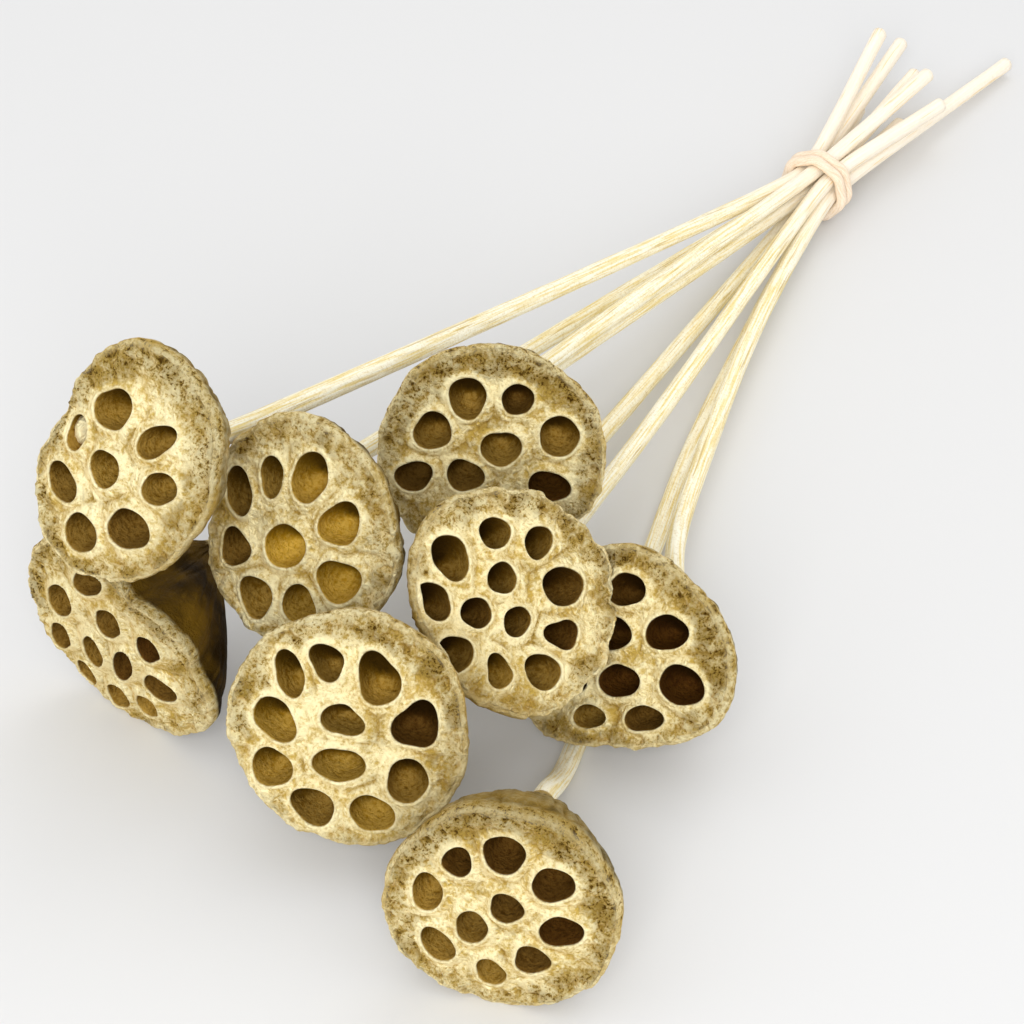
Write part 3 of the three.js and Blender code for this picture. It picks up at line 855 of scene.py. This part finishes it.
def seed_part(place):
    """A shrivelled seed, stuck in its cell by the paint."""
    around, down = SEED_AROUND, SEED_DOWN
    angles = np.arange(around) / around * 2 * math.pi
    rows = [np.array([[0, 0, 1.0]])]
    for row in range(1, down):
        polar = row / down * math.pi
        wide = math.sin(polar)
        level = np.full(around, math.cos(polar))
        rows.append(np.column_stack([wide * np.cos(angles), wide * np.sin(angles), level]))
    rows.append(np.array([[0, 0, -1.0]]))
    ball = np.concatenate(rows)
    fold = np.abs(rough(ball * (1, 1, 0.5), SEED_WRINKLE_SIZE, 5, 3))
    points = ball * SEED_SIZE * (1.04 - 0.16 * np.clip(fold, 0, 1))[:, None] + place
    faces = [(0, 1 + i, 1 + (i + 1) % around) for i in range(around)]
    for row in range(down - 2):
        ring = 1 + row * around
        faces += [
            (ring + i, ring + around + i, ring + around + (i + 1) % around, ring + (i + 1) % around)
            for i in range(around)
        ]
    last = len(ball) - 1
    faces += [(last, last - around + (i + 1) % around, last - around + i) for i in range(around)]
    marks = {name: np.zeros(len(ball)) for name in MARKS}
    # Painted highlight over the seed wherever it is not folded
    marks["lip_highlight"] = smooth(fold, 0.0, 0.12)
    # Painted shadow in a spot near the seed's top, where a gap opens to the cell's wall
    hole = np.linalg.norm((ball - SEED_HOLE) * (1, 1.3, 0.4), axis=1)
    marks["crease_shade"] = np.exp(-((hole / SEED_HOLE_WIDTH) ** 2))
    return points, faces, marks


# The pods, their stems
# Straight round stalks with fine lengthwise ribs, drawn together at the tie and cut off unevenly.
# They are a little hollow where they are cut, and paler from the tie on.
TIE_CENTRE = np.array([-12.2, 142.4, 14.8])
SLOT_RING = 7.2
STEM_AT_NECK = 3.5
STEM_AT_TIE = 2.95
STEM_SUNK = 9
LEAVE_LENGTH = 7
TIE_STRAIGHT = 14
PATH_STEPS = 24
STEM_SIDES = 30
STEM_STEP = 2.4
STEM_RIBS = 0.014
STEM_UNEVENNESS = 0.16
# The cut end, ring by ring towards its middle: share of the stem's size, how far it is sunk
CUT_RINGS = ((0.88, -0.25), (0.66, 0.5), (0.5, 1.8), (0.25, 2.3))
CUT_SUNK = 2.4
# Where the stems turn from gold to pale, along the bunch from the tie
PALE_FROM = -70
PALE_TO = 10


def centripetal(points, steps):
    """A centripetal Catmull-Rom line through points, with that many steps between each pair."""
    points = [np.asarray(p, float) for p in points]
    ends = [2 * points[0] - points[1], *points, 2 * points[-1] - points[-2]]
    line = []
    for p0, p1, p2, p3 in zip(ends, ends[1:], ends[2:], ends[3:]):
        d0, d1, d2 = (math.sqrt(np.linalg.norm(b - a)) for a, b in ((p0, p1), (p1, p2), (p2, p3)))
        out1 = ((p1 - p0) / d0 - (p2 - p0) / (d0 + d1) + (p2 - p1) / d1) * d1
        out2 = ((p2 - p1) / d1 - (p3 - p1) / (d1 + d2) + (p3 - p2) / d2) * d1
        for t in np.arange(steps) / steps:
            line.append(
                p1
                + out1 * t
                + (-3 * p1 + 3 * p2 - 2 * out1 - out2) * t**2
                + (2 * p1 - 2 * p2 + out1 + out2) * t**3
            )
    return np.array([*line, points[-1]])


def slot_point(pod):
    if pod["slot"] is None:
        return TIE_CENTRE
    angle = math.radians(pod["slot"])
    return TIE_CENTRE + SLOT_RING * np.array([math.cos(angle), 0, math.sin(angle)])


def stem_path(pod):
    down, neck, leave = on_face(
        pod, [(0, 0, STEM_SUNK - pod["depth"]), (0, 0, -pod["depth"]), (0, 0, -pod["depth"] - LEAVE_LENGTH)]
    )
    slot = slot_point(pod)
    end = TIE_CENTRE + pod["end"]
    via = [np.array(point) for point in pod.get("via", [leave])]
    before = (slot - via[-1]) / np.linalg.norm(slot - via[-1])
    after = (end - slot) / np.linalg.norm(end - slot)
    middle = (before + after) / np.linalg.norm(before + after)
    enter = slot - (before + middle) * TIE_STRAIGHT / 2
    leaving = slot + (after + middle) * TIE_STRAIGHT / 2
    return centripetal([down, neck, *via, enter, slot, leaving, end], PATH_STEPS)


class Tree:
    """A geometry node tree with named inputs, built a step at a time."""

    def __init__(self, name, sockets):
        self.tree = bpy.data.node_groups.new(name, "GeometryNodeTree")
        self.tree.interface.new_socket("Geometry", in_out="INPUT", socket_type="NodeSocketGeometry")
        for socket, kind in sockets:
            self.tree.interface.new_socket(socket, in_out="INPUT", socket_type="NodeSocket" + kind)
        self.tree.interface.new_socket("Geometry", in_out="OUTPUT", socket_type="NodeSocketGeometry")
        self.given = self.tree.nodes.new("NodeGroupInput").outputs
        self.made = self.tree.nodes.new("NodeGroupOutput").inputs["Geometry"]

    def add(self, kind, inputs=(), **settings):
        node = self.tree.nodes.new(kind)
        for key, value in settings.items():
            setattr(node, key, value)
        for key, value in dict(inputs).items():
            if isinstance(value, bpy.types.NodeSocket):
                self.tree.links.new(value, node.inputs[key])
            else:
                node.inputs[key].default_value = value
        return node

    def maths(self, operation, *values):
        return self.add("ShaderNodeMath", dict(enumerate(values)), operation=operation).outputs[0]

    def vector(self, operation, *values):
        node = self.add("ShaderNodeVectorMath", operation=operation)
        for key, value in enumerate(values):
            place = 3 if operation == "SCALE" and key == 1 else key
            if isinstance(value, bpy.types.NodeSocket):
                self.tree.links.new(value, node.inputs[place])
            else:
                node.inputs[place].default_value = value
        return node.outputs[0]

    def finish(self, geometry, material):
        real = self.add("GeometryNodeRealizeInstances", {"Geometry": geometry}).outputs["Geometry"]
        set_material = self.add("GeometryNodeSetMaterial", {"Geometry": real, "Material": material})
        self.tree.links.new(set_material.outputs["Geometry"], self.made)

    def run(self, points, closed, values):
        """The mesh that the tree makes from a line through points, with these input values."""
        count = len(points)
        edges = [(i, (i + 1) % count) for i in range(count if closed else count - 1)]
        mesh = bpy.data.meshes.new(self.tree.name + "_line")
        mesh.from_pydata([tuple(p) for p in points], edges, [])
        holder = bpy.data.objects.new(self.tree.name + "_line", mesh)
        bpy.context.scene.collection.objects.link(holder)
        modifier = holder.modifiers.new("nodes", "NODES")
        modifier.node_group = self.tree
        for item in self.tree.interface.items_tree:
            if item.in_out == "INPUT" and item.name in values:
                modifier[item.identifier] = values[item.name]
        bpy.context.view_layer.update()
        graph = bpy.context.evaluated_depsgraph_get()
        made = bpy.data.meshes.new_from_object(holder.evaluated_get(graph))
        holder.modifiers.remove(modifier)
        bpy.data.objects.remove(holder)
        return made


stem_tree = Tree(
    "lotus_stem",
    [
        ("Neck Radius", "Float"),
        ("Tie Radius", "Float"),
        ("Step", "Float"),
        ("Rib Height", "Float"),
        ("Unevenness", "Float"),
        ("Seed", "Int"),
    ],
)
given = stem_tree.given
line = stem_tree.add("GeometryNodeMeshToCurve", {"Mesh": given["Geometry"]}).outputs["Curve"]
line = stem_tree.add(
    "GeometryNodeResampleCurve",
    {"Curve": line, "Length": given["Step"]},
    mode="LENGTH",
).outputs["Curve"]
along = stem_tree.add("GeometryNodeSplineParameter").outputs
narrowing = stem_tree.maths("MINIMUM", stem_tree.maths("MULTIPLY", along["Factor"], 1.6), 1.0)
thinner = stem_tree.maths("SUBTRACT", given["Tie Radius"], given["Neck Radius"])
radius = stem_tree.maths("ADD", given["Neck Radius"], stem_tree.maths("MULTIPLY", thinner, narrowing))
wobble = stem_tree.add(
    "ShaderNodeTexNoise", {"W": given["Seed"], "Scale": 0.045, "Detail": 2.0}, noise_dimensions="4D"
).outputs["Fac"]
wobble = stem_tree.maths("MULTIPLY", stem_tree.maths("SUBTRACT", wobble, 0.5), given["Unevenness"])
radius = stem_tree.maths("MULTIPLY", radius, stem_tree.maths("ADD", wobble, 1.0))
kept_length = stem_tree.add("GeometryNodeCaptureAttribute", {"Geometry": line})
kept_length.capture_items.new("FLOAT", "Length")
stem_tree.tree.links.new(along["Length"], kept_length.inputs["Length"])
profile = stem_tree.add(
    "GeometryNodeCurvePrimitiveCircle", {"Resolution": STEM_SIDES, "Radius": 1.0}
).outputs["Curve"]
around = stem_tree.maths("MULTIPLY", stem_tree.add("GeometryNodeSplineParameter").outputs["Factor"], math.tau)
wave_a = stem_tree.maths("SINE", stem_tree.maths("MULTIPLY", around, 5.0))
wave_b = stem_tree.maths("SINE", stem_tree.maths("ADD", stem_tree.maths("MULTIPLY", around, 11.0), 1.3))
ribs = stem_tree.maths("ADD", wave_a, stem_tree.maths("MULTIPLY", wave_b, 0.6))
ribs = stem_tree.maths("ADD", 1.0, stem_tree.maths("MULTIPLY", ribs, given["Rib Height"]))
here = stem_tree.add("GeometryNodeInputPosition").outputs[0]
profile = stem_tree.add(
    "GeometryNodeSetPosition", {"Geometry": profile, "Position": stem_tree.vector("SCALE", here, ribs)}
).outputs["Geometry"]
kept_around = stem_tree.add("GeometryNodeCaptureAttribute", {"Geometry": profile})
kept_around.capture_items.new("VECTOR", "Around")
stem_tree.tree.links.new(here, kept_around.inputs["Around"])
tube = stem_tree.add(
    "GeometryNodeCurveToMesh",
    {
        "Curve": kept_length.outputs["Geometry"],
        "Profile Curve": kept_around.outputs["Geometry"],
        "Scale": radius,
    },
).outputs["Mesh"]
lengthways = stem_tree.add(
    "ShaderNodeCombineXYZ",
    {"Z": stem_tree.maths("MULTIPLY", kept_length.outputs["Length"], 0.012)},
)
strand_at = stem_tree.vector("ADD", kept_around.outputs["Around"], lengthways.outputs[0])
seed_shift = stem_tree.add("ShaderNodeCombineXYZ", {"Z": stem_tree.maths("MULTIPLY", given["Seed"], 3.7)})
tube = stem_tree.add(
    "GeometryNodeStoreNamedAttribute",
    {"Geometry": tube, "Name": "strand", "Value": stem_tree.vector("ADD", strand_at, seed_shift.outputs[0])},
    data_type="FLOAT_VECTOR",
    domain="POINT",
).outputs["Geometry"]
stem_tree.finish(tube, gold.material)


def stem_part(pod, number):
    """A stem from the node tree, with its cut end hollowed a little."""
    path = stem_path(pod)
    values = {
        "Neck Radius": STEM_AT_NECK,
        "Tie Radius": STEM_AT_TIE,
        "Step": STEM_STEP,
        "Rib Height": STEM_RIBS,
        "Unevenness": STEM_UNEVENNESS,
        "Seed": number,
    }
    mesh = stem_tree.run(path, False, values)
    count = len(mesh.vertices)
    points = np.empty(count * 3)
    mesh.vertices.foreach_get("co", points)
    points = points.reshape(-1, 3)
    strand_values = np.empty(count * 3)
    mesh.attributes["strand"].data.foreach_get("vector", strand_values)
    strand_values = strand_values.reshape(-1, 3)
    faces = [tuple(p.vertices) for p in mesh.polygons]
    bpy.data.meshes.remove(mesh)

    first = np.arange(STEM_SIDES)
    last = np.arange(count - STEM_SIDES, count)
    direction = path[-1] - path[-2]
    direction /= np.linalg.norm(direction)
    middle = points[last].mean(0)
    ring = last
    total = count
    extra = []
    for size, sunk in CUT_RINGS:
        extra.append(middle + (points[last] - middle) * size - direction * sunk)
        lower = np.arange(total, total + STEM_SIDES)
        faces += list(zip(ring, np.roll(ring, -1), np.roll(lower, -1), lower))
        ring = lower
        total += STEM_SIDES
    extra.append((middle - direction * CUT_SUNK)[None])
    faces += list(zip(ring, np.roll(ring, -1), [total] * STEM_SIDES))
    total += 1
    extra.append(path[0][None])
    faces += list(zip(np.roll(first, -1), first, [total] * STEM_SIDES))
    total += 1
    points = np.concatenate([points, *extra])
    added = total - count
    strand_values = np.concatenate([strand_values, np.repeat(strand_values[-1:], added, axis=0)])
    towards = points[:, 1] - TIE_CENTRE[1]
    marks = {name: np.zeros(total) for name in MARKS}
    marks["stem"] = np.ones(total)
    marks["tied"] = smooth(towards, PALE_FROM, PALE_TO)
    return points, faces, marks, strand_values


def make_pod(pod, number):
    face_points, face_faces, face_marks = face_part(pod, number)
    side_points, side_faces, side_marks = side_part(pod, number, np.arange(RIM_SIDES), len(face_points))
    local = np.concatenate([face_points, side_points])
    faces = face_faces + side_faces
    marks = [face_marks, side_marks]
    if "seed" in pod:
        seed_points, seed_faces, seed_marks = seed_part(pod["seed"])
        faces += [tuple(i + len(local) for i in face) for face in seed_faces]
        local = np.concatenate([local, seed_points])
        marks.append(seed_marks)
    points = on_face(pod, local)
    stem_points, stem_faces, stem_marks, stem_strand = stem_part(pod, number)
    faces += [tuple(i + len(points) for i in face) for face in stem_faces]
    marks.append(stem_marks)
    angle = np.arctan2(local[:, 1], local[:, 0])
    head_strand = np.column_stack([np.cos(angle) * 2.2, np.sin(angle) * 2.2, local[:, 2] * 0.02 + number])
    strand_values = np.concatenate([head_strand, stem_strand])
    points = np.concatenate([points, stem_points]) * MM
    points[:, 2] = np.maximum(points[:, 2], 0.0)

    mesh = bpy.data.meshes.new(f"pod_{number}")
    mesh.from_pydata([tuple(p) for p in points], [], [tuple(int(i) for i in face) for face in faces])
    mesh.shade_smooth()
    for name in MARKS:
        values = np.concatenate([part[name] for part in marks]).astype(np.float32)
        mesh.attributes.new(name, "FLOAT", "POINT").data.foreach_set("value", values)
    strand_attribute = mesh.attributes.new("strand", "FLOAT_VECTOR", "POINT")
    strand_attribute.data.foreach_set("vector", strand_values.astype(np.float32).ravel())
    mesh.materials.append(gold.material)
    piece = bpy.data.objects.new(f"pod_{number}", mesh)
    bpy.context.scene.collection.objects.link(piece)
    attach(piece, "root")
    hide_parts(f"lotus_pod_{number}")


for number, pod in enumerate(PODS, 1):
    make_pod(pod, number)


# The cord
# Soft cream cotton cord, wound twice round the stems and drawn tight, with a small knot on the side
# away from the viewer. Its fibres run along it in a faint slant.
CORD_CREAM = (rgb("E6CDAE"), rgb("F6E4CE"))
CORD_FLECK = rgb("D9BC98")
CORD_RELIEF = 0.0005

cream = Nodes("cream_cord")
place = cream.add("TexCoord").outputs["Object"]
strand = cream.add("Attribute", attribute_name="strand").outputs["Vector"]
fibre = cream.grain(place, 1500, 3, 0.6)
lay = cream.grain(strand, 4.5, 3, 0.6)
shade = cream.mix(cream.step(lay, 0.32, 0.6), *CORD_CREAM)
shade = cream.mix(cream.times(cream.step(fibre, 0.5, 0.36), 0.3), shade, CORD_FLECK)
cream.put(shade, cream.shader.inputs["Base Color"])
cream.shader.inputs["Roughness"].default_value = 0.85
soft_skin = cream.bump(cream.sum(lay, cream.times(fibre, 0.4)), CORD_RELIEF, 0.5)
cream.put(soft_skin, cream.shader.inputs["Normal"])

CORD_RADIUS = 2.0
CORD_SLACK = 0.4
CORD_SIDES = 20
CORD_UNEVENNESS = 0.16
CORD_SLANT = 0.12
TURN_SPACING = 4.5
TURN_TILT = 0.03
TURN_POINTS = 360
POINTS_ROUND_STEM = 36
KNOT_RADIUS = 1.1
KNOT_POINTS = 200
KNOT_CORNERS = 60
KNOT_SIZE = 0.7
KNOT_ANGLE = math.radians(225)
KNOT_REACH = 14.8
cord_tree = Tree(
    "soft_cord",
    [("Radius", "Float"), ("Unevenness", "Float"), ("Slant", "Float"), ("Points", "Int")],
)
given = cord_tree.given
loop = cord_tree.add("GeometryNodeMeshToCurve", {"Mesh": given["Geometry"]}).outputs["Curve"]
loop = cord_tree.add(
    "GeometryNodeResampleCurve", {"Curve": loop, "Count": given["Points"]}, mode="COUNT"
).outputs["Curve"]
far = cord_tree.add("GeometryNodeSplineParameter").outputs["Length"]
kept_length = cord_tree.add("GeometryNodeCaptureAttribute", {"Geometry": loop})
kept_length.capture_items.new("FLOAT", "Length")
cord_tree.tree.links.new(far, kept_length.inputs["Length"])
wobble = cord_tree.add("ShaderNodeTexNoise", {"Scale": 0.28, "Detail": 2.0}).outputs["Fac"]
wobble = cord_tree.maths("MULTIPLY", cord_tree.maths("SUBTRACT", wobble, 0.5), given["Unevenness"])
radius = cord_tree.maths("MULTIPLY", given["Radius"], cord_tree.maths("ADD", wobble, 1.0))
profile = cord_tree.add(
    "GeometryNodeCurvePrimitiveCircle",
    {"Resolution": CORD_SIDES, "Radius": 1.0},
).outputs["Curve"]
kept_around = cord_tree.add("GeometryNodeCaptureAttribute", {"Geometry": profile})
kept_around.capture_items.new("VECTOR", "Around")
cord_tree.tree.links.new(cord_tree.add("GeometryNodeInputPosition").outputs[0], kept_around.inputs["Around"])
tube = cord_tree.add(
    "GeometryNodeCurveToMesh",
    {
        "Curve": kept_length.outputs["Geometry"],
        "Profile Curve": kept_around.outputs["Geometry"],
        "Scale": radius,
    },
).outputs["Mesh"]
slant = cord_tree.maths("MULTIPLY", kept_length.outputs["Length"], given["Slant"])
turned = cord_tree.add(
    "ShaderNodeVectorRotate",
    {"Vector": kept_around.outputs["Around"], "Angle": slant},
    rotation_type="Z_AXIS",
).outputs["Vector"]
lengthways = cord_tree.add(
    "ShaderNodeCombineXYZ", {"Z": cord_tree.maths("MULTIPLY", kept_length.outputs["Length"], 0.05)}
)
tube = cord_tree.add(
    "GeometryNodeStoreNamedAttribute",
    {"Geometry": tube, "Name": "strand", "Value": cord_tree.vector("ADD", turned, lengthways.outputs[0])},
    data_type="FLOAT_VECTOR",
    domain="POINT",
).outputs["Geometry"]
cord_tree.finish(tube, cream.material)

around_stems = []
reach = STEM_AT_TIE + CORD_RADIUS + CORD_SLACK
for pod in PODS:
    slot = slot_point(pod)
    for angle in np.arange(POINTS_ROUND_STEM) / POINTS_ROUND_STEM * math.tau:
        around_stems.append((slot[0] + reach * math.cos(angle), slot[2] + reach * math.sin(angle)))
hull = convex_hull_2d([Vector(p) for p in around_stems])
outline = np.array([around_stems[i] for i in hull])
lines = []
for way in (-1, 1):
    level = TIE_CENTRE[1] + way * TURN_SPACING / 2
    tilt = way * TURN_TILT
    lines.append([(x, level + tilt * (x - TIE_CENTRE[0]), z) for x, z in outline])

knot_at = TIE_CENTRE + KNOT_REACH * np.array([math.cos(KNOT_ANGLE), 0, math.sin(KNOT_ANGLE)])
knot = []
for t in np.arange(KNOT_CORNERS) / KNOT_CORNERS * math.tau:
    in_out = math.sin(3 * t)
    lengthwise = 1.2 * (math.sin(t) + 2 * math.sin(2 * t))
    up_down = math.cos(t) - 2 * math.cos(2 * t)
    knot.append(knot_at + KNOT_SIZE * np.array([in_out, lengthwise, up_down]))
lines.append(knot)

cord_points = []
cord_faces = []
cord_strands = []
radii = (CORD_RADIUS, CORD_RADIUS, KNOT_RADIUS)
counts = (TURN_POINTS, TURN_POINTS, KNOT_POINTS)
for line, radius, count in zip(lines, radii, counts):
    values = {"Radius": radius, "Unevenness": CORD_UNEVENNESS, "Slant": CORD_SLANT, "Points": count}
    turn = cord_tree.run(line, True, values)
    start = len(cord_points)
    cord_points += [tuple(v.co * MM) for v in turn.vertices]
    cord_faces += [tuple(i + start for i in p.vertices) for p in turn.polygons]
    cord_strands += [tuple(item.vector) for item in turn.attributes["strand"].data]
    bpy.data.meshes.remove(turn)
mesh = bpy.data.meshes.new("cord")
mesh.from_pydata(cord_points, [], cord_faces)
mesh.shade_smooth()
strand_attribute = mesh.attributes.new("strand", "FLOAT_VECTOR", "POINT")
strand_attribute.data.foreach_set("vector", np.array(cord_strands, np.float32).ravel())
mesh.materials.append(cream.material)
cord = bpy.data.objects.new("cord", mesh)
bpy.context.scene.collection.objects.link(cord)
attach(cord, "root")
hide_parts("tie_cord")


# The studio
# A pale seamless floor, a pale world and soft light from above and in front.
FLOOR_GREY = rgb("D8D8D8")
FLOOR_REACH = 6
LIGHT_AIM = (0.03, -0.12, 0.05)
LIGHT_SIZE = 1.2
WORLD_LIGHT = 0.9
CAMERA_LENS = 105.47
CAMERA_AIM = Vector((0.0322, -0.1734, 0.0952))
CAMERA_SIDE = Vector((0.3830, -0.6634, 0.6428))
CAMERA_DISTANCE = 0.9

floor_paint = Nodes("pale_floor")
floor_paint.shader.inputs["Base Color"].default_value = FLOOR_GREY
floor_paint.shader.inputs["Roughness"].default_value = 1.0
floor_mesh = bpy.data.meshes.new("floor")
floor_corners = [(x * FLOOR_REACH, y * FLOOR_REACH, 0) for x, y in ((-1, -1), (1, -1), (1, 1), (-1, 1))]
floor_mesh.from_pydata(floor_corners, [], [(0, 1, 2, 3)])
floor_mesh.materials.append(floor_paint.material)
floor = bpy.data.objects.new("floor", floor_mesh)
bpy.context.scene.collection.objects.link(floor)

world = bpy.data.worlds.new("pale")
world.use_nodes = True
world.node_tree.nodes["Background"].inputs["Color"].default_value = (1.0, 1.0, 1.0, 1.0)
world.node_tree.nodes["Background"].inputs["Strength"].default_value = WORLD_LIGHT
bpy.context.scene.world = world
bpy.context.scene.view_settings.view_transform = "Standard"


def soft_light(name, spot, power):
    data = bpy.data.lights.new(name, "AREA")
    data.size = LIGHT_SIZE
    data.energy = power
    light = bpy.data.objects.new(name, data)
    light.location = spot
    light.rotation_euler = (Vector(LIGHT_AIM) - Vector(spot)).to_track_quat("-Z", "Y").to_euler()
    bpy.context.scene.collection.objects.link(light)


soft_light("key", (0.8, -1.77, 1.26), 31)
soft_light("fill", (-0.2, 1.2, 1.8), 6)

camera_data = bpy.data.cameras.new("camera")
camera_data.sensor_width = 36
camera_data.lens = CAMERA_LENS
camera_data.clip_start = 0.05
camera_data.clip_end = 30
camera = bpy.data.objects.new("camera", camera_data)
camera.location = CAMERA_AIM + CAMERA_SIDE * CAMERA_DISTANCE
camera.rotation_euler = CAMERA_SIDE.to_track_quat("Z", "Y").to_euler()
bpy.context.scene.collection.objects.link(camera)
bpy.context.scene.camera = camera
